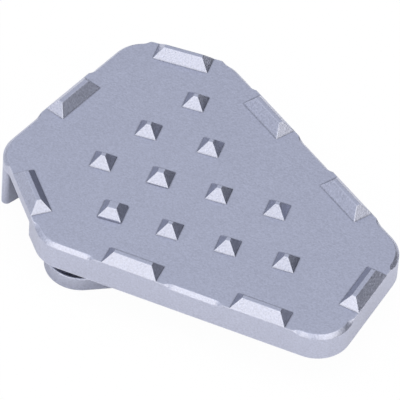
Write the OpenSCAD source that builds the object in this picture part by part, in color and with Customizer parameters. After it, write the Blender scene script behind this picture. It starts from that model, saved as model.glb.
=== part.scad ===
// Brake pedal extension: a studded foot plate, a clamp plate below it and the three
// screws that draw the two together on the tip of a brake pedal.
// The origin is the middle of the pedal seat, on its ceiling. Z points up to the foot,
// and the front edge faces -Y. All sizes are in millimetres.

/* [Deck outline] */
// Sharp front left corner of the deck, left of the seat centre
deck_left = 4.37; // [3:0.01:6]
// Sharp front left corner of the deck, in front of the seat centre
deck_front = 30.88; // [30:0.01:33]
// Length of the front edge between its sharp corners
front_len = 56.6; // [52:0.1:62]
// Direction of the front edge
front_dir = -4.9; // [-8:0.1:0]
// Length of the right edge
right_len = 26.6; // [23:0.1:30]
// Direction of the right edge
right_dir = 79.2; // [75:0.1:85]
// Length of the long slanted edge at the back right
slant_len = 54; // [50:0.1:58]
// Direction of the slanted edge
slant_dir = 143.3; // [141:0.1:146]
// Length of the back edge
back_len = 18.85; // [16:0.05:22]
// Length of the edge at the back left
flank_len = 37.5; // [35.5:0.1:40]
// Direction of the edge at the back left
flank_dir = 249.1; // [246:0.1:252]
// Radius of the deck's corners in plan
corner_r = 6.5; // [4:0.1:7]

/* [Deck section] */
// Thickness of the deck
deck_t = 5.65; // [5.25:0.05:8]
// Thickness of the deck above the pedal seat
seat_roof_t = 2.2; // [1.8:0.05:2.6]
// Bevel round the top edge
edge_bevel = 0.7; // [0.3:0.05:1.2]
// Radius of the bevelling cutter at its tip, which shapes the bevel's ends
cutter_r = 1.6; // [1:0.1:3]
// Sharp edge that is left between a bar and the end of the bevel
bevel_stop = 1.5; // [1:0.1:2.5]
// Depth of the relief that is milled off the left edge, from the mouth to the front corner
relief = 0.43; // [0.2:0.01:0.8]
// Radius of the cutter that mills the relief
relief_r = 3; // [2:0.1:4]

/* [Grip] */
// Width of a stud at its foot
stud_w = 4; // [3:0.05:5]
// Width of the flat on top of a stud
stud_flat = 0.8; // [0.4:0.05:1.4]
// Height of the studs and bars
grip_h = 1.9; // [1.2:0.05:2.5]
// Length of an edge bar at its foot
bar_len = 10.5; // [8:0.1:12]
// Width of an edge bar at its foot
bar_w = 4; // [3:0.05:5]
// Width of the flat along a bar's ridge
bar_flat = 0.8; // [0.4:0.05:1.4]
// Foot width of the proud stud at the front left
proud_w = 4.3; // [4.1:0.05:4.6]
// Flat width of the proud stud
proud_flat = 1.65; // [1.2:0.05:2]
// Foot width of the half proud stud in the long row
half_proud_w = 4.15; // [4.05:0.05:4.4]
// Flat width of the half proud stud
half_proud_flat = 1.1; // [0.9:0.05:1.6]
// Spacing of the studs in the long row
long_pitch = 10.9; // [9:0.1:12]
// Spacing of the studs in the front row
front_pitch = 10.8; // [9:0.1:12]
// Spacing of the two studs in the back pair
pair_pitch = 11.75; // [9:0.05:13]

/* [Pedal seat] */
// Direction in which the pedal's arm runs in from the mouth
arm_dir = 59; // [57:0.5:61]
// Width of the channel that the pedal's arm lies in
arm_w = 12.35; // [11.5:0.05:12.5]
// Width of the recess for the pedal's tread
tread_w = 14; // [12:0.1:15]
// Reach of the tread recess from the arm's centre line
tread_reach = 19.7; // [15:0.1:20]
// Radius that the cutter leaves in the seat's corners
seat_r = 3; // [1.5:0.1:4]
// Radius of the vertical edge at the mouth, on the deck's side
lip_r = 0.4; // [0.2:0.1:1]
// Radius of the vertical edge at the mouth, on the side wall
mouth_r = 0.9; // [0.4:0.1:1.2]
// Depth of the side wall below the deck
wall_drop = 6.35; // [5.5:0.05:8]
// Reach of the side wall's far end past the seat centre
wall_reach = -2; // [-6:0.5:2]
// Radius at the side wall's far end
wall_end_r = 2; // [1:0.1:2.5]

/* [Clamp] */
// Thickness of the clamp plate
clamp_t = 3.2; // [2.8:0.05:3.6]
// Radius of the clamp plate's rounded ends
clamp_end_r = 6.5; // [5.6:0.05:6.5]
// Screw beside the mouth: distance in front of the seat centre, along the arm
near_back = 19.3; // [18.5:0.1:20]
// Screw beside the mouth: distance to the right of the arm's centre line
near_side = 13; // [12.9:0.1:13.6]
// Screw past the tread's end: distance past the seat centre, along the arm
far_reach = 1; // [-2:0.1:4]
// Screw past the tread's end: distance to the right of the arm's centre line
far_side = 25.7; // [25.3:0.1:28]
// Screw past the arm's end: distance past the seat centre, along the arm
heel_reach = 13.2; // [12.7:0.1:15]

/* [Screws] */
// Nominal diameter of the screws
screw_d = 5; // [4:0.1:5]
// Diameter of the countersunk head
head_d = 9.8; // [9.2:0.1:10]
// Height of the straight rim of the head
head_rim = 0.2; // [0.1:0.05:0.4]
// Width of the hexagon socket across its flats
socket_af = 3; // [2.5:0.1:3.2]
// Depth of the hexagon socket
socket_depth = 1.9; // [1.5:0.1:2.2]
// Length of thread held in the deck
thread_hold = 3.65; // [3:0.05:4]
// Room between the screw's tip and the bottom of its hole
tip_room = 0.4; // [0.2:0.05:0.6]
// Bevel at the screw's tip
tip_bevel = 0.5; // [0.3:0.05:0.8]
// Gap all round between the thread and its hole
thread_gap = 0.05; // [0.02:0.01:0.1]
// Gap all round between the shank and the clamp plate
shank_gap = 0.25; // [0.15:0.05:0.4]

/* [Hidden] */
$fn = 96;

// Amount by which cutting shapes run past the surface that they cut
over = 0.3;
// Amount by which a corner's cut runs deeper than an edge's, so that the two meet in an edge
seam = 0.015;
// Length by which a cut along an edge laps the next one
lap = 0.1;
// Amount by which a rounding stands past the flat faces beside it, for the same reason
crest = 0.002;
// Amount by which a bar reaches past the deck's side before it is trimmed flush
flush = 0.02;
// Directions of the deck's edges, from the front edge round to the back left one
edge_dirs = [front_dir, right_dir, slant_dir, 180, flank_dir];
edge_lens = [front_len, right_len, slant_len, back_len, flank_len];
// Where each edge's bars start, from that edge's first corner. The last edge is the left one.
bar_starts = [[12.1, 36.65], [8.9], [10.3, 34.15], [3.3], [14], [6.95]];
// First stud, spacing and number of studs of each row
stud_rows = [
    [[10.79, 11.08], 0, 1],
    [[5.14, 1.38], pair_pitch, 2],
    [[0.04, -8.82], long_pitch, 4],
    [[5.69, -20.17], front_pitch, 4]
];
long_row = 2;
front_row = 3;
// The proud stud stands a little further back than the rest of its row
proud_shift = 0.4;

deck_top = seat_roof_t;
deck_bottom = deck_top - deck_t;
wall_bottom = deck_bottom - wall_drop;
clamp_top = wall_bottom + clamp_t;
seat_side = arm_w / 2;
screw_len = wall_drop + thread_hold;
grip_slope = grip_h / ((stud_w - stud_flat) / 2);
screw_spots = [[-near_back, -near_side], [far_reach, -far_side], [heel_reach, 0]];

function heading(a) = [cos(a), sin(a)];
function unit(v) = v / norm(v);
function right_of(v) = [v.y, -v.x];
function left_of(v) = [-v.y, v.x];
function angle_of(v) = atan2(v.y, v.x);
// Turns a point of the arm's own frame into the deck's frame
function from_arm(p) = p.x * heading(arm_dir) + p.y * left_of(heading(arm_dir));
function deck_corner(i) = i == 0 ? [-deck_left, -deck_front]
    : deck_corner(i - 1) + edge_lens[i - 1] * heading(edge_dirs[i - 1]);

// An outline is a list of sharp corners, counter-clockwise, all rounded to one radius
function next(p, i) = p[(i + 1) % len(p)];
function prev(p, i) = p[(i + len(p) - 1) % len(p)];
function edge_unit(p, i) = unit(next(p, i) - p[i]);
function turn_at(p, i) = acos(edge_unit(p, i) * unit(p[i] - prev(p, i)));
function tangent_len(p, i, r) = r * tan(turn_at(p, i) / 2);
function arc_centre(p, i, r) =
    p[i] + tangent_len(p, i, r) * edge_unit(p, i) + r * left_of(edge_unit(p, i));
function arc_angle(len, r) = len / r * 180 / PI;

deck_corners = [for (i = [0 : 5]) deck_corner(i)];
left_edge = 5;
flank_edge = 4;
// Corners of the deck where the relief is milled off its left edge
relief_corners = [for (i = [0 : 5])
    i == 0 ? deck_corners[0] + relief / sin(turn_at(deck_corners, 0)) * edge_unit(deck_corners, 0)
    : i == left_edge ? deck_corners[i] + relief * left_of(edge_unit(deck_corners, i))
    : deck_corners[i]];

// Plate with the given sharp corners, rounded by true arcs
module rounded_plate(p, r, h) {
    linear_extrude(h)
        polygon([for (i = [0 : len(p) - 1], s = [-1, 1])
            let (d = s < 0 ? unit(prev(p, i) - p[i]) : edge_unit(p, i))
            p[i] + tangent_len(p, i, r) * d]);
    for (i = [0 : len(p) - 1]) translate(arc_centre(p, i, r)) cylinder(h = h, r = r + crest);
}

// Cut of a 45 degree bevel along edge i, from one distance along it to another
module edge_cut(p, i, from, to, bevel) {
    translate(p[i] + (from - lap) * edge_unit(p, i))
        rotate([0, 0, angle_of(edge_unit(p, i))])
        rotate([90, 0, 90])
        linear_extrude(to - from + 2 * lap)
        polygon([[bevel + over, over], [-over, -bevel - over], [-over, over]]);
}

// How far round a corner's arc a lift lies that is past the straight part of an edge
function lift_before(p, i, r, at) = let (before = (i + len(p) - 1) % len(p))
    arc_angle(max(at - norm(p[i] - p[before]) + tangent_len(p, i, r), 0), r);
function lift_after(p, i, r, at) = arc_angle(max(tangent_len(p, i, r) - at, 0), r);

// Cut of the same bevel round corner i, short of its ends by the angles lead and trail
module corner_cut(p, i, r, bevel, lead, trail) {
    start = lead - arc_angle(lap, r);
    end = turn_at(p, i) - trail + arc_angle(lap, r);
    foot_r = r - seam;
    translate(arc_centre(p, i, r))
        rotate([0, 0, angle_of(right_of(unit(p[i] - prev(p, i)))) + start])
        rotate_extrude(angle = end - start)
        polygon([[foot_r - bevel - over, over], [foot_r + over, -bevel - over],
                 [foot_r + over, over]]);
}

// Curved end that the cone of the cutter leaves where it is lifted off edge i. A lift that
// lies past the straight part of the edge is carried on round the corner's arc.
module cutter_stop(p, i, at, r, bevel) {
    start = tangent_len(p, i, r);
    end = norm(next(p, i) - p[i]) - tangent_len(p, (i + 1) % len(p), r);
    side = right_of(edge_unit(p, i));
    centre = at < start ? arc_centre(p, i, r) : at > end ? arc_centre(p, (i + 1) % len(p), r)
        : p[i] + at * edge_unit(p, i) - r * side;
    bend = arc_angle(min(at - start, 0) + max(at - end, 0), r);
    tip_r = cutter_r + 2 * seam;
    translate(centre + (r + cutter_r) * heading(angle_of(side) + bend))
        translate([0, 0, -bevel - over])
        cylinder(h = bevel + 2 * over, r1 = tip_r - over, r2 = tip_r + bevel + over);
}

// Bevel along the edges of an outline and round the named corners. On each edge it is left
// out from one lift of the cutter to the next.
module bevel_cut(p, r, bevel, lifts, corners) {
    for (i = [0 : len(p) - 1]) {
        start = tangent_len(p, i, r);
        end = norm(next(p, i) - p[i]) - tangent_len(p, (i + 1) % len(p), r);
        ends = [start, each lifts[i], end];
        for (k = [0 : 2 : len(ends) - 2])
            if (ends[k + 1] > ends[k]) edge_cut(p, i, ends[k], ends[k + 1], bevel);
        for (at = lifts[i]) cutter_stop(p, i, at, r, bevel);
    }
    for (i = corners) {
        before = lifts[(i + len(p) - 1) % len(p)];
        corner_cut(p, i, r, bevel,
                   len(before) > 0 ? lift_before(p, i, r, before[len(before) - 1]) : 0,
                   len(lifts[i]) > 0 ? lift_after(p, i, r, lifts[i][0]) : 0);
    }
}

// Bevel of the deck's top edge. Past the relief it follows the relief's outline.
module deck_bevel() {
    margin = bevel_stop + cutter_r;
    lifts = [for (bars = bar_starts)
        [for (b = bars) each [b - margin, b + bar_len + margin]]];
    last = lifts[left_edge][1];
    bevel_cut(deck_corners, corner_r, edge_bevel,
              [for (i = [0 : 5]) i == left_edge ? [lifts[i][0]] : lifts[i]], [1 : 5]);
    cutter_stop(relief_corners, left_edge, last, corner_r, edge_bevel);
    corner_cut(relief_corners, 0, corner_r, edge_bevel,
               lift_before(relief_corners, 0, corner_r, last), 0);
}

// Block with four slanting sides, centred on its foot
module taper(foot_x, foot_y, flat_x, flat_y, h) {
    intersection() {
        rotate([90, 0, 0])
            linear_extrude(foot_y, center = true)
            polygon([[-foot_x / 2, 0], [foot_x / 2, 0], [flat_x / 2, h], [-flat_x / 2, h]]);
        rotate([90, 0, 90])
            linear_extrude(foot_x, center = true)
            polygon([[-foot_y / 2, 0], [foot_y / 2, 0], [flat_y / 2, h], [-flat_y / 2, h]]);
    }
}

// Stud of one slope. A wider flat than its foot allows leaves it on a low square step.
module stud(foot, flat) {
    rise = grip_slope * (foot - flat) / 2;
    step = grip_h - rise;
    translate([0, 0, step]) taper(foot, foot, flat, flat, rise);
    if (step > 0.01) translate([-foot / 2, -foot / 2, 0]) cube([foot, foot, step]);
}

module edge_bar() {
    run = (bar_w - bar_flat) / 2;
    translate([bar_len / 2, bar_w / 2, 0])
        taper(bar_len, bar_w, bar_len - 2 * run, bar_flat, grip_h);
}

module studs() {
    for (row = [0 : len(stud_rows) - 1], i = [0 : stud_rows[row][2] - 1]) {
        proud = row == front_row && i == 0;
        half_proud = row == long_row && i == 1;
        translate(stud_rows[row][0] + [i * stud_rows[row][1], proud ? proud_shift : 0])
            stud(proud ? proud_w : half_proud ? half_proud_w : stud_w,
                 proud ? proud_flat : half_proud ? half_proud_flat : stud_flat);
    }
}

module edge_bars() {
    for (i = [0 : 5], b = bar_starts[i])
        translate(deck_corners[i] + b * edge_unit(deck_corners, i))
            rotate([0, 0, angle_of(edge_unit(deck_corners, i))])
            translate([0, (i == left_edge ? relief : 0) - flush, 0]) edge_bar();
}

// Shallow cut off the deck's left edge. It starts in the cutter's curve beside the bar and
// runs on to the front corner, which is rounded again.
module relief_cut() {
    from = bar_starts[left_edge][0] - bevel_stop;
    depth = deck_t + grip_h + 2 * over;
    left = edge_unit(deck_corners, left_edge);
    translate(deck_corners[left_edge] + from * left)
        rotate([0, 0, angle_of(left)])
        translate([0, relief - relief_r, deck_bottom - over]) {
            cylinder(h = depth, r = relief_r);
            translate([0, -relief_r, 0]) cube([front_len, 2 * relief_r, depth]);
        }
    edge_round(relief_corners[0], -left, edge_unit(deck_corners, 0), corner_r,
               deck_bottom - over, depth);
}

// Hollow in the underside: the arm's channel, open at the left edge, and the tread's recess
module seat_hollow() {
    h = deck_t + wall_drop;
    mouth = -2 * deck_front;
    w = tread_w / 2;
    rotate([0, 0, arm_dir]) translate([0, 0, -h]) {
        linear_extrude(h)
            polygon([[mouth, -seat_side], [-w, -seat_side], [-w, seat_r - tread_reach],
                     [seat_r - w, -tread_reach], [w - seat_r, -tread_reach],
                     [w, seat_r - tread_reach], [w, seat_side - seat_r],
                     [w - seat_r, seat_side], [mouth, seat_side]]);
        for (c = [[seat_r - w, seat_r - tread_reach], [w - seat_r, seat_r - tread_reach],
                  [w - seat_r, seat_side - seat_r]])
            translate(c) cylinder(h = h, r = seat_r + crest);
    }
}

// Side wall: all of the deck's outline that lies beyond the arm's channel, made deeper
module side_wall() {
    reach = front_len;
    intersection() {
        translate([0, 0, wall_bottom]) rounded_plate(deck_corners, corner_r, wall_drop + over);
        rotate([0, 0, arm_dir])
            translate([wall_reach - reach, seat_side - over, wall_bottom])
            cube([reach, reach, wall_drop + over]);
    }
}

// Prism that rounds off a vertical edge between two faces that leave p along d1 and d2
module edge_round(p, d1, d2, r, bottom, h) {
    half = acos(unit(d1) * unit(d2)) / 2;
    middle = unit(unit(d1) + unit(d2));
    centre = p + middle * r / sin(half);
    translate([0, 0, bottom])
        linear_extrude(h)
        difference() {
            polygon([p - over * middle, p + unit(d1) * r / tan(half), centre,
                     p + unit(d2) * r / tan(half)]);
            translate(centre) circle(r + crest);
        }
}

// Where a line through p along d meets edge i of an outline
function meet(p, d, outline, i) =
    let (q = outline[i], e = edge_unit(outline, i),
         w = q - p, along = (w.x * e.y - w.y * e.x) / (d.x * e.y - d.y * e.x))
    p + along * d;

// Rounding of the mouth's two vertical edges
module mouth_rounds() {
    arm = heading(arm_dir);
    left = edge_unit(deck_corners, left_edge);
    edge_round(meet(from_arm([0, -seat_side]), arm, relief_corners, left_edge), arm, left,
               lip_r, deck_bottom - over, over - deck_bottom);
    tip_round();
}

// The side wall's tip lies on the corner's arc, so it is rounded between face and arc
module tip_round() {
    arm = heading(arm_dir);
    c = arc_centre(deck_corners, left_edge, corner_r);
    line = from_arm([0, seat_side + mouth_r]);
    foot = line + ((c - line) * arm) * arm;
    gap = norm(c - foot);
    f = foot - sqrt(pow(corner_r - mouth_r, 2) - gap * gap) * arm;
    outward = unit(f - c);
    depth = deck_t + wall_drop;
    translate([0, 0, -depth])
        linear_extrude(depth)
        difference() {
            polygon([f, f + 2 * mouth_r * right_of(arm),
                     f - 4 * mouth_r * arm + 2 * mouth_r * right_of(arm),
                     f + 4 * mouth_r * outward - 2 * mouth_r * arm, f + 2 * mouth_r * outward]);
            translate(f) circle(mouth_r + crest);
        }
}

module wall_end_rounds() {
    arm = heading(arm_dir);
    inner = from_arm([wall_reach, seat_side]);
    outer = meet(from_arm([wall_reach, 0]), left_of(arm), deck_corners, flank_edge);
    bottom = wall_bottom - over;
    edge_round(inner, left_of(arm), -arm, wall_end_r, bottom, wall_drop + over);
    edge_round(outer, right_of(arm), edge_unit(deck_corners, flank_edge), wall_end_r, bottom,
               wall_drop + over);
}

module pedal_plate() {
    color([0.66, 0.68, 0.75])
    difference() {
        union() {
            intersection() {
                translate([0, 0, deck_bottom])
                    rounded_plate(deck_corners, corner_r, deck_t + grip_h + over);
                union() {
                    translate([-2 * front_len, -2 * front_len, deck_bottom - over])
                        cube([4 * front_len, 4 * front_len, deck_t + over]);
                    translate([0, 0, deck_top]) studs();
                    translate([0, 0, deck_top]) edge_bars();
                }
            }
            side_wall();
        }
        translate([0, 0, deck_top]) deck_bevel();
        relief_cut();
        seat_hollow();
        mouth_rounds();
        wall_end_rounds();
        for (s = screw_spots)
            translate(from_arm(s))
            translate([0, 0, deck_bottom - over])
            cylinder(h = over + thread_hold + tip_room, d = screw_d + 2 * thread_gap);
    }
}

module clamp_plate() {
    spots = [for (s = screw_spots) from_arm(s)];
    corners = [for (i = [0 : 2])
        let (half = (180 - turn_at(spots, i)) / 2,
             inward = unit(edge_unit(spots, i) + unit(prev(spots, i) - spots[i])))
        spots[i] - inward * clamp_end_r / sin(half)];
    color([0.62, 0.64, 0.71])
    difference() {
        translate([0, 0, wall_bottom]) rounded_plate(corners, clamp_end_r, clamp_t);
        for (s = spots) translate([s.x, s.y, wall_bottom]) {
            translate([0, 0, -over]) cylinder(h = clamp_t + 2 * over, d = screw_d + 2 * shank_gap);
            sink_r = head_d / 2 + head_rim;
            translate([0, 0, -over]) cylinder(h = sink_r + over, r1 = sink_r + over, r2 = 0);
        }
    }
}

module screw() {
    head_r = head_d / 2;
    shank_r = screw_d / 2;
    difference() {
        union() {
            cylinder(h = head_rim, r = head_r);
            translate([0, 0, head_rim])
                cylinder(h = head_r - shank_r, r1 = head_r, r2 = shank_r);
            cylinder(h = screw_len - tip_bevel, r = shank_r);
            translate([0, 0, screw_len - tip_bevel])
                cylinder(h = tip_bevel, r1 = shank_r, r2 = shank_r - tip_bevel);
        }
        translate([0, 0, -over])
            cylinder(h = socket_depth + over, d = socket_af / cos(30), $fn = 6);
    }
}

module clamp_screws() {
    color([0.45, 0.46, 0.48])
    for (s = screw_spots) translate(from_arm(s)) translate([0, 0, wall_bottom]) screw();
}

pedal_plate();
clamp_plate();
clamp_screws();
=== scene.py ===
import math

import bmesh
import bpy
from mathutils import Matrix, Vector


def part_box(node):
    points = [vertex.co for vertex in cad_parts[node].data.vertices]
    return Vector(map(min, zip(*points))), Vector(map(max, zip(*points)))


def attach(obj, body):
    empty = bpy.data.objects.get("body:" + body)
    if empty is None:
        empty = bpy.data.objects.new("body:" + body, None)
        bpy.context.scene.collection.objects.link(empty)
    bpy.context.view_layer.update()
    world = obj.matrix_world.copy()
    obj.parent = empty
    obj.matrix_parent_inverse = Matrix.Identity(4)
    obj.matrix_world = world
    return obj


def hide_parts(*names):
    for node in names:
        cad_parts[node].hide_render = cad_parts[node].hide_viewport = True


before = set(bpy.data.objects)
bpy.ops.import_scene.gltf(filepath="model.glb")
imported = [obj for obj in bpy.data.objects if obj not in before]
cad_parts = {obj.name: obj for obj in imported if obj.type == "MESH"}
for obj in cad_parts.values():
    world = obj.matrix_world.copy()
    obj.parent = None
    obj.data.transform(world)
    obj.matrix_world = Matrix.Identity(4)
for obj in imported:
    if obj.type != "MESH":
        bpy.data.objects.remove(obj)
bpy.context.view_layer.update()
print("frame loaded:", ", ".join(sorted(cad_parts)))

mm = 0.001


def linearColor(hexText):
    # sRGB hex to the linear values that Blender's colour sockets take
    values = [int(hexText[i:i + 2], 16) / 255 for i in (1, 3, 5)]
    return [v / 12.92 if v <= 0.04045 else ((v + 0.055) / 1.055) ** 2.4 for v in values] + [1.0]


def addNode(tree, kind, settings, links=()):
    # settings are sockets or attributes of the node, links are (input, other node, its output)
    node = tree.nodes.new(kind)
    for name, value in settings.items():
        if isinstance(name, int) or name in node.inputs:
            node.inputs[name].default_value = value
        else:
            setattr(node, name, value)
    for inputName, other, outputName in links:
        tree.links.new(other.outputs[outputName], node.inputs[inputName])
    return node


def emptyMaterial(name):
    material = bpy.data.materials.new(name)
    material.use_nodes = True
    material.node_tree.nodes.clear()
    return material, material.node_tree


def selectOnly(obj):
    bpy.ops.object.select_all(action="DESELECT")
    obj.select_set(True)
    bpy.context.view_layer.objects.active = obj


# Aluminium, bead blasted and then clear anodised. The blasting gives a fine even satin with no
# direction and a slight sparkle, and the anodic film cools the colour. Corners are painted
# bright as a painted highlight that also stands for rubbing wear, and inner corners get painted
# shade.
blastedAluminium = {
    "toneLow": "#b7bac9",
    "toneHigh": "#bdc0cf",
    "toneSize": 9 * mm,  # soft clouds that anodising leaves on a milled face
    "toneRubbedAndHighlight": "#e4e6ee",
    "rubbedHighlightWidth": 0.3 * mm,
    "rubbedHighlightOpen": (0.92, 0.45),  # openness inside the metal where the painted highlight and rubbing start and are full
    # Painted shade in the inner creases and corners
    "creaseShadeWidth": 0.35 * mm,
    "creaseShadeOpen": (0.98, 0.8),  # the same for the painted crease shade, outside the metal
    "creaseShadeDark": 0.5,
    "roughness": (0.30, 0.40),
    "grain": 0.34 * mm,  # bead dimples are near 0.1 mm, drawn coarser so that they show
    "grainDepth": 0.03 * mm,
    "speckle": 0.12,  # how much the dimples vary in tone
    "slopeGrain": 1.4,  # the slopes were cut with the tool's side and came out coarser
    "upright": (0.1, 0.4),  # upward share of the normal where a face stops being upright
    "level": (0.95, 0.85),  # and where it stops being level
}


def makeBlastedAluminium(name, look):
    material, tree = emptyMaterial(name)
    place = addNode(tree, "ShaderNodeTexCoord", {})
    clouds = addNode(tree, "ShaderNodeTexNoise", {"Scale": 1 / look["toneSize"], "Detail": 3.0,
                     "Roughness": 0.55}, [("Vector", place, "Object")])
    tone = addNode(tree, "ShaderNodeMix", {"data_type": "RGBA", 6: linearColor(look["toneLow"]),
                   7: linearColor(look["toneHigh"])}, [(0, clouds, "Fac")])
    # Seen from inside the metal, a corner has its other face close by
    corner = addNode(tree, "ShaderNodeAmbientOcclusion", {"inside": True, "only_local": True,
                     "samples": 8, "Distance": look["rubbedHighlightWidth"]})
    # Outward edges are mixed towards a lighter tone: a painted highlight, partly rubbing wear
    rubbedHighlight = addNode(tree, "ShaderNodeMapRange", {"From Min": look["rubbedHighlightOpen"][0],
                     "From Max": look["rubbedHighlightOpen"][1]}, [("Value", corner, "AO")])
    edgeTone = addNode(tree, "ShaderNodeMix", {"data_type": "RGBA",
                       7: linearColor(look["toneRubbedAndHighlight"])}, [(0, rubbedHighlight, "Result"), (6, tone, 2)])
    # Painted shade: inner creases are darkened where there is ambient occlusion outside the metal
    crease = addNode(tree, "ShaderNodeAmbientOcclusion", {"only_local": True, "samples": 8,
                     "Distance": look["creaseShadeWidth"]})
    # The painted crease shade is left off upright faces and undersides
    facing = addNode(tree, "ShaderNodeSeparateXYZ", {}, [(0, place, "Normal")])
    creaseShadeFacing = addNode(tree, "ShaderNodeMapRange", {"From Min": look["upright"][0],
                       "From Max": look["upright"][1], "To Min": 1.0,
                       "To Max": look["creaseShadeDark"]}, [("Value", facing, "Z")])
    creaseShade = addNode(tree, "ShaderNodeMapRange", {"From Min": look["creaseShadeOpen"][0],
                   "From Max": look["creaseShadeOpen"][1], "To Min": 1.0},
                   [("Value", crease, "AO"), ("To Max", creaseShadeFacing, "Result")])
    grain = addNode(tree, "ShaderNodeTexNoise", {"Scale": 1 / look["grain"], "Detail": 1.5,
                    "Roughness": 0.6}, [("Vector", place, "Object")])
    gloss = addNode(tree, "ShaderNodeMapRange", {"From Min": 0.3, "From Max": 0.7,
                    "To Min": look["roughness"][0], "To Max": look["roughness"][1]},
                    [("Value", grain, "Fac")])
    notLevel = addNode(tree, "ShaderNodeMapRange", {"From Min": look["level"][0],
                       "From Max": look["level"][1], "To Min": 1.0,
                       "To Max": look["slopeGrain"]}, [("Value", facing, "Z")])
    notUpright = addNode(tree, "ShaderNodeMapRange", {"From Min": look["upright"][0],
                         "From Max": look["upright"][1], "To Min": 1.0,
                         "To Max": look["slopeGrain"]}, [("Value", facing, "Z")])
    coarser = addNode(tree, "ShaderNodeMath", {"operation": "MINIMUM"},
                      [(0, notLevel, "Result"), (1, notUpright, "Result")])
    speckle = addNode(tree, "ShaderNodeMapRange", {"From Min": 0.25, "From Max": 0.75,
                      "To Min": -look["speckle"], "To Max": look["speckle"]},
                      [("Value", grain, "Fac")])
    uneven = addNode(tree, "ShaderNodeMath", {"operation": "MULTIPLY_ADD", 2: 1.0},
                     [(0, speckle, "Result"), (1, coarser, 0)])
    shade = addNode(tree, "ShaderNodeMath", {"operation": "MULTIPLY"},
                    [(0, uneven, 0), (1, creaseShade, "Result")])
    speckled = addNode(tree, "ShaderNodeVectorMath", {"operation": "SCALE"},
                       [(0, edgeTone, 2), ("Scale", shade, 0)])
    depth = addNode(tree, "ShaderNodeMath", {"operation": "MULTIPLY", 1: look["grainDepth"]},
                    [(0, coarser, 0)])
    dimples = addNode(tree, "ShaderNodeBump", {"Strength": 1.0},
                      [("Height", grain, "Fac"), ("Distance", depth, 0)])
    shader = addNode(tree, "ShaderNodeBsdfPrincipled", {"Metallic": 1.0},
                     [("Base Color", speckled, 0), ("Roughness", gloss, "Result"),
                      ("Normal", dimples, "Normal")])
    addNode(tree, "ShaderNodeOutputMaterial", {}, [("Surface", shader, "BSDF")])
    return material


plateFinish = makeBlastedAluminium("beadBlastedAnodisedAluminium", blastedAluminium)
# The lower plate's tones are a touch darker, painted shade for its place under the deck
lowerFinish = makeBlastedAluminium("beadBlastedLowerPlate",
                                   dict(blastedAluminium, toneLow="#b6b9c7", toneHigh="#bcbfcd"))

# Stainless steel as screws are turned and rolled from it: darker and smoother than the plates,
# with fine rings round each head from the turning.
turnedStainless = {
    "toneLow": "#85868b",
    "toneHigh": "#97989d",
    "toneSize": 2.5 * mm,
    "roughness": (0.24, 0.34),
    "ringPitch": 0.2 * mm,  # feed marks of 0.05 mm, drawn coarser so that they show
    "ringDepth": 0.005 * mm,
    "axes": [(1.2033, -23.2392), (22.5447, -12.3794), (6.7985, 11.3146)],  # mm, in plan
}


def makeTurnedStainless(name, look):
    material, tree = emptyMaterial(name)
    place = addNode(tree, "ShaderNodeTexCoord", {})
    # Distance in plan from the nearest screw's axis
    flat = addNode(tree, "ShaderNodeVectorMath", {"operation": "MULTIPLY", 1: (1, 1, 0)},
                   [(0, place, "Object")])
    nearest = None
    for x, y in look["axes"]:
        radius = addNode(tree, "ShaderNodeVectorMath", {"operation": "DISTANCE",
                         1: (x * mm, y * mm, 0)}, [(0, flat, 0)])
        if nearest is None:
            nearest = (radius, "Value")
        else:
            closer = addNode(tree, "ShaderNodeMath", {"operation": "MINIMUM"},
                             [(0, *nearest), (1, radius, "Value")])
            nearest = (closer, 0)
    turns = addNode(tree, "ShaderNodeMath", {"operation": "MULTIPLY",
                    1: 2 * math.pi / look["ringPitch"]}, [(0, *nearest)])
    rings = addNode(tree, "ShaderNodeMath", {"operation": "SINE"}, [(0, turns, 0)])
    stains = addNode(tree, "ShaderNodeTexNoise", {"Scale": 1 / look["toneSize"],
                     "Detail": 3.0}, [("Vector", place, "Object")])
    tone = addNode(tree, "ShaderNodeMix", {"data_type": "RGBA", 6: linearColor(look["toneLow"]),
                   7: linearColor(look["toneHigh"])}, [(0, stains, "Fac")])
    gloss = addNode(tree, "ShaderNodeMapRange", {"From Min": -1.0, "From Max": 1.0,
                    "To Min": look["roughness"][0], "To Max": look["roughness"][1]},
                    [("Value", rings, 0)])
    marks = addNode(tree, "ShaderNodeBump", {"Strength": 1.0, "Distance": look["ringDepth"]},
                    [("Height", rings, 0)])
    shader = addNode(tree, "ShaderNodeBsdfPrincipled", {"Metallic": 1.0},
                     [("Base Color", tone, 2), ("Roughness", gloss, "Result"),
                      ("Normal", marks, "Normal")])
    addNode(tree, "ShaderNodeOutputMaterial", {}, [("Surface", shader, "BSDF")])
    return material


screwFinish = makeTurnedStainless("turnedStainlessSteel", turnedStainless)
print("materials made")

# The plates keep the CAD surface, with its sharp edges broken as blasting leaves them. All
# angles here are in degrees.
footPlateEdges = {
    "merge": 0.05 * mm,
    "flat": 0.6,  # under this, neighbouring faces are made one flat face
    "sharp": 14,  # over this, an edge is broken
    "width": 0.07 * mm,
    "segments": 2,
    "smooth": 12,  # up to this, neighbouring faces are shaded as one curve
    "evenWeight": 90,  # keeps the large faces flat beside the corner arcs
}
lowerPlateEdges = {
    "merge": 0.01 * mm,
    "flat": 0.6,
    "sharp": 30,
    "width": 0.4 * mm,
    "segments": 3,
    "smooth": 35,
    "evenWeight": 90,
}


def copyOfNode(nodeName, pieceName, finish, look):
    # A merged copy of a CAD node, left selected and in object mode
    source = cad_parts[nodeName]
    piece = source.copy()
    piece.data = source.data.copy()
    piece.name = pieceName
    piece.data.name = pieceName
    bpy.context.collection.objects.link(piece)
    piece.data.materials.clear()
    piece.data.materials.append(finish)
    selectOnly(piece)
    bpy.ops.object.mode_set(mode="EDIT")
    bpy.ops.mesh.select_all(action="SELECT")
    bpy.ops.mesh.remove_doubles(threshold=look["merge"])
    bpy.ops.mesh.dissolve_degenerate(threshold=look["merge"])
    bpy.ops.mesh.dissolve_limited(angle_limit=math.radians(look["flat"]))
    bpy.ops.object.mode_set(mode="OBJECT")
    return piece


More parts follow.
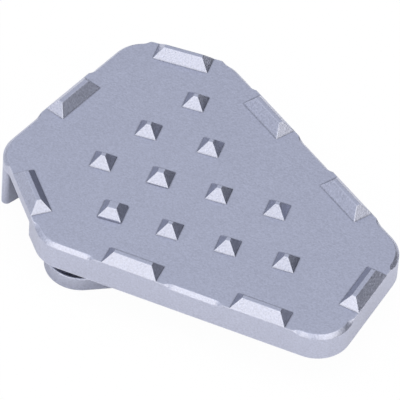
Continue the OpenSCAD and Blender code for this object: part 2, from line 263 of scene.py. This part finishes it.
def breakEdges(piece, look):
    # Only outward edges are rounded; inward ones, such as a stud's foot, stay crisp
    bpy.ops.object.mode_set(mode="EDIT")
    bpy.ops.mesh.select_mode(type="EDGE")
    bpy.ops.mesh.select_all(action="DESELECT")
    mesh = bmesh.from_edit_mesh(piece.data)
    for edge in mesh.edges:
        edge.select_set(math.degrees(edge.calc_face_angle_signed(0)) > look["sharp"])
    bmesh.update_edit_mesh(piece.data)
    bpy.ops.mesh.bevel(offset=look["width"], segments=look["segments"], affect="EDGES",
                       clamp_overlap=False, miter_outer="ARC")
    bpy.ops.object.mode_set(mode="OBJECT")
    bpy.ops.object.shade_smooth_by_angle(angle=math.radians(look["smooth"]))
    even = piece.modifiers.new("evenShading", "WEIGHTED_NORMAL")
    even.mode = "FACE_AREA"
    even.weight = look["evenWeight"]
    even.keep_sharp = True
    bpy.ops.object.modifier_apply(modifier=even.name)


def putOn(piece, nodeName):
    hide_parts(nodeName)
    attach(piece, "root")
    print(piece.name, "made:", len(piece.data.polygons), "faces")


footPlate = copyOfNode("pedal_plate", "footPlate", plateFinish, footPlateEdges)
breakEdges(footPlate, footPlateEdges)
putOn(footPlate, "pedal_plate")

lowerPlate = copyOfNode("clamp_plate", "lowerPlate", lowerFinish, lowerPlateEdges)
breakEdges(lowerPlate, lowerPlateEdges)
putOn(lowerPlate, "clamp_plate")

# The CAD screws have plain shanks. Here each shank is cut off under its head and grown again
# as a core with a chamfered tip, and one helical ridge is copied to the three of them.
screwEdges = {
    "merge": 0.002 * mm,
    "flat": 0.6,
    "sharp": 30,
    "width": 0.06 * mm,
    "segments": 2,
    "smooth": 30,
    "evenWeight": 90,
}
thread = {
    "under": -7.2 * mm,  # height where the countersunk head ends
    "tip": 0.2 * mm,
    "tipChamfer": 0.45 * mm,
    "crest": 2.5 * mm,  # radii of an M5 thread
    "root": 2.05 * mm,
    "sunk": 0.05 * mm,  # how far the ridge goes into the core
    "pitch": 0.8 * mm,
    "crestHalf": 0.05 * mm,  # half widths of the ridge
    "rootHalf": 0.33 * mm,
    "start": 0.5 * mm,  # from the head
    "turns": 7.75,
    "stepsPerTurn": 36,
}


def cutShanks(piece):
    bpy.ops.object.mode_set(mode="EDIT")
    bpy.ops.mesh.select_mode(type="FACE")
    bpy.ops.mesh.select_all(action="SELECT")
    bpy.ops.mesh.bisect(plane_co=(0, 0, thread["under"]), plane_no=(0, 0, 1), use_fill=True,
                        clear_outer=True)
    bpy.ops.mesh.select_all(action="DESELECT")
    mesh = bmesh.from_edit_mesh(piece.data)
    # The fills lie at the height of the cut and point up
    for face in mesh.faces:
        atCut = abs(face.calc_center_median().z - thread["under"]) < 0.01 * mm
        face.select_set(atCut and face.normal.z > 0.99)
    bmesh.update_edit_mesh(piece.data)


def growCores():
    # The faces at the cuts are still selected
    length = thread["tip"] - thread["tipChamfer"] - thread["under"]
    bpy.ops.mesh.inset(thickness=thread["crest"] - thread["root"], use_individual=True)
    bpy.ops.mesh.extrude_region_move(TRANSFORM_OT_translate={"value": (0, 0, length)})
    bpy.ops.mesh.inset(thickness=thread["tipChamfer"], depth=thread["tipChamfer"],
                       use_individual=True)
    bpy.ops.object.mode_set(mode="OBJECT")


def makeRidge():
    bpy.ops.mesh.primitive_plane_add(size=1)
    ridge = bpy.context.object
    ridge.name = "threadRidge"
    inner = thread["root"] - thread["sunk"]
    profile = [(inner, -thread["rootHalf"]), (thread["crest"], -thread["crestHalf"]),
               (inner, thread["rootHalf"]), (thread["crest"], thread["crestHalf"])]
    for vertex, (radius, height) in zip(ridge.data.vertices, profile):
        vertex.co = (radius, 0, height)
    bpy.ops.object.mode_set(mode="EDIT")
    bpy.ops.mesh.select_all(action="SELECT")
    bpy.ops.mesh.delete(type="ONLY_FACE")
    bpy.ops.object.mode_set(mode="OBJECT")
    winding = ridge.modifiers.new("winding", "SCREW")
    winding.axis = "Z"
    winding.angle = 2 * math.pi * thread["turns"]
    winding.screw_offset = thread["pitch"] * thread["turns"]
    winding.steps = round(thread["stepsPerTurn"] * thread["turns"])
    winding.render_steps = winding.steps
    bpy.ops.object.modifier_apply(modifier=winding.name)
    # The two open ends are filled
    bpy.ops.object.mode_set(mode="EDIT")
    bpy.ops.mesh.select_mode(type="EDGE")
    bpy.ops.mesh.select_all(action="DESELECT")
    bpy.ops.mesh.select_non_manifold()
    bpy.ops.mesh.edge_face_add()
    bpy.ops.mesh.select_all(action="SELECT")
    bpy.ops.mesh.normals_make_consistent(inside=False)
    bpy.ops.object.mode_set(mode="OBJECT")
    bpy.ops.object.shade_smooth_by_angle(angle=math.radians(screwEdges["smooth"]))
    ridge.data.materials.append(screwFinish)
    return ridge


def ridgeAt(ridge, x, y):
    another = ridge.copy()
    another.data = ridge.data.copy()
    bpy.context.collection.objects.link(another)
    selectOnly(another)
    another.location = (x * mm, y * mm, thread["under"] + thread["start"])
    bpy.ops.object.transform_apply(location=True, rotation=False, scale=False)
    return another


screws = copyOfNode("clamp_screws", "clampScrews", screwFinish, screwEdges)
cutShanks(screws)
growCores()
breakEdges(screws, screwEdges)
ridge = makeRidge()
ridges = [ridgeAt(ridge, x, y) for x, y in turnedStainless["axes"]]
bpy.data.objects.remove(ridge)
selectOnly(screws)
for another in ridges:
    another.select_set(True)
bpy.ops.object.join()
putOn(screws, "clamp_screws")

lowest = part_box("clamp_plate")[0]
paper = {
    "size": 4.0,
    "height": lowest[2],
    "tone": "#f4f4f6",
    "seenByCamera": 0.97,  # share of plain white in what the camera sees of the paper
    "seenByMetal": 0.1,
    "white": 1.0,
}

bpy.ops.object.select_all(action="DESELECT")
bpy.ops.mesh.primitive_plane_add(size=paper["size"], location=(0, 0, paper["height"]))
floor = bpy.context.object
floor.name = "paperFloor"
material, tree = emptyMaterial("whitePaper")
rays = addNode(tree, "ShaderNodeLightPath", {})
cameraShare = addNode(tree, "ShaderNodeMath", {"operation": "MULTIPLY",
                      1: paper["seenByCamera"]}, [(0, rays, "Is Camera Ray")])
glossyOrClear = addNode(tree, "ShaderNodeMath", {"operation": "MAXIMUM"},
                        [(0, rays, "Is Glossy Ray"), (1, rays, "Is Transmission Ray")])
metalShare = addNode(tree, "ShaderNodeMath", {"operation": "MULTIPLY",
                     1: paper["seenByMetal"]}, [(0, glossyOrClear, 0)])
share = addNode(tree, "ShaderNodeMath", {"operation": "MAXIMUM"},
                [(0, cameraShare, 0), (1, metalShare, 0)])
lit = addNode(tree, "ShaderNodeBsdfDiffuse", {"Color": linearColor(paper["tone"])})
white = addNode(tree, "ShaderNodeEmission", {"Color": (1, 1, 1, 1),
                "Strength": paper["white"]})
mixed = addNode(tree, "ShaderNodeMixShader", {}, [(0, share, 0), (1, lit, 0), (2, white, 0)])
addNode(tree, "ShaderNodeOutputMaterial", {}, [("Surface", mixed, 0)])
floor.data.materials.append(material)

# The studio is a pale tent, open and so darker low down at the right and behind
tent = {
    "tone": "#eef1fb",
    "strength": 1.16,
    "footShare": 0.6,  # brightness at the tent's foot against its upper part
    "evenAbove": 0.65,
    "openStrength": 0.045,
    "openTowards": (0.332, 0.624, -0.707),
    "openWithin": (113, 53),  # degrees from that direction where it starts and where it is full
}

world = bpy.data.worlds.new("paleTent")
bpy.context.scene.world = world
world.use_nodes = True
tree = world.node_tree
tree.nodes.clear()
sky = addNode(tree, "ShaderNodeTexCoord", {})
towards = addNode(tree, "ShaderNodeVectorMath", {"operation": "DOT_PRODUCT",
                  1: tent["openTowards"]}, [(0, sky, "Generated")])
starts, full = (math.cos(math.radians(angle)) for angle in tent["openWithin"])
openness = addNode(tree, "ShaderNodeMapRange", {"From Min": starts, "From Max": full,
                   "To Min": tent["strength"], "To Max": tent["openStrength"]},
                   [("Value", towards, "Value")])
parts = addNode(tree, "ShaderNodeSeparateXYZ", {}, [(0, sky, "Generated")])
rise = addNode(tree, "ShaderNodeMapRange", {"From Max": tent["evenAbove"],
               "To Min": tent["footShare"]}, [("Value", parts, "Z")])
strength = addNode(tree, "ShaderNodeMath", {"operation": "MULTIPLY"},
                   [(0, openness, "Result"), (1, rise, "Result")])
glow = addNode(tree, "ShaderNodeBackground", {"Color": linearColor(tent["tone"])},
               [("Strength", strength, 0)])
addNode(tree, "ShaderNodeOutputWorld", {}, [("Surface", glow, "Background")])

# Heading is counter-clockwise from +X and rise is above the floor, both in degrees
lamps = {
    "frontLeftBox": {"heading": 244, "rise": 33, "distance": 1.6, "size": (1.0, 1.0),
                     "power": 3.3},
    "frontRightBox": {"heading": 326, "rise": 36, "distance": 1.6, "size": (1.7, 1.1),
                      "power": 4.9},
    "overheadBox": {"heading": 286, "rise": 88, "distance": 1.8, "size": (0.9, 0.9),
                    "power": 6.0},
}
lampTone = "#fff7e3"

for lampName, look in lamps.items():
    heading, rise = math.radians(look["heading"]), math.radians(look["rise"])
    spot = [look["distance"] * math.cos(rise) * math.cos(heading),
            look["distance"] * math.cos(rise) * math.sin(heading),
            look["distance"] * math.sin(rise)]
    bpy.ops.object.light_add(type="AREA", location=spot,
                             rotation=(math.pi / 2 - rise, 0, heading + math.pi / 2))
    lamp = bpy.context.object
    lamp.name = lampName
    lamp.data.shape = "RECTANGLE"
    lamp.data.size, lamp.data.size_y = look["size"]
    lamp.data.energy = look["power"]
    lamp.data.color = linearColor(lampTone)[:3]

# The overhead box only lights the paper, so that the deck doesn't mirror it from above
bpy.data.objects["overheadBox"].visible_glossy = False

# A long lens about a metre away, at the photograph's viewing angle
view = {
    "place": (209.148 * mm, -699.378 * mm, 769.688 * mm),
    "turn": (42.8399, -2.9088, 18.5711),
    "lens": 531.18,
}
bpy.ops.object.camera_add(location=view["place"],
                          rotation=[math.radians(a) for a in view["turn"]])
camera = bpy.context.object
camera.data.lens = view["lens"]
camera.data.sensor_width = 36
camera.data.clip_start = 0.01
camera.data.clip_end = 50
bpy.context.scene.camera = camera
bpy.context.scene.view_settings.view_transform = "Standard"
print("studio made")
